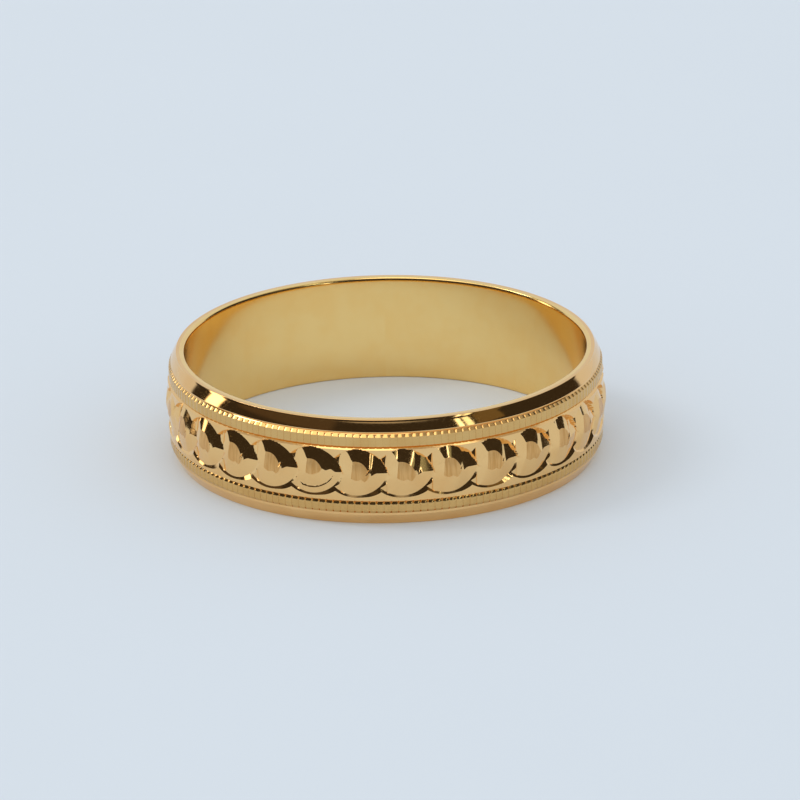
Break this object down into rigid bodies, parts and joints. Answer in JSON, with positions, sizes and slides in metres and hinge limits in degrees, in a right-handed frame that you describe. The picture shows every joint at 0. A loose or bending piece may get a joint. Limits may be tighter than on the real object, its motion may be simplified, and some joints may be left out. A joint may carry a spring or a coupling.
{
  "type": "wedding band",
  "caption": "Plain-bored gold wedding band with polished bevelled rims, beaded milgrain edges and a chased centre row of overlapping pointed discs.",
  "frame": {"origin": "centre of the finger hole, at the lower edge that the ring stands on", "axes": "+Z along the finger; -Y is the side seen from the front, and the points of the discs run anticlockwise seen from above"},
  "size_m": [0.0202, 0.0204, 0.005],
  "materials": {
    "bore_gold": "hand-polished yellow gold, faintly wavy",
    "rim_gold": "mirror-polished yellow gold with light wear",
    "milgrain_gold": "knurled yellow gold beading",
    "chased_gold": "bright-cut yellow gold with fine graver lines"
  },
  "bodies": {
    "root": {"inner_sleeve": "bore_gold", "lower_rim": "rim_gold", "lower_milgrain_wire": "milgrain_gold", "centre_band": "chased_gold", "upper_milgrain_wire": "milgrain_gold", "upper_rim": "rim_gold"}
  },
  "joints": []
}
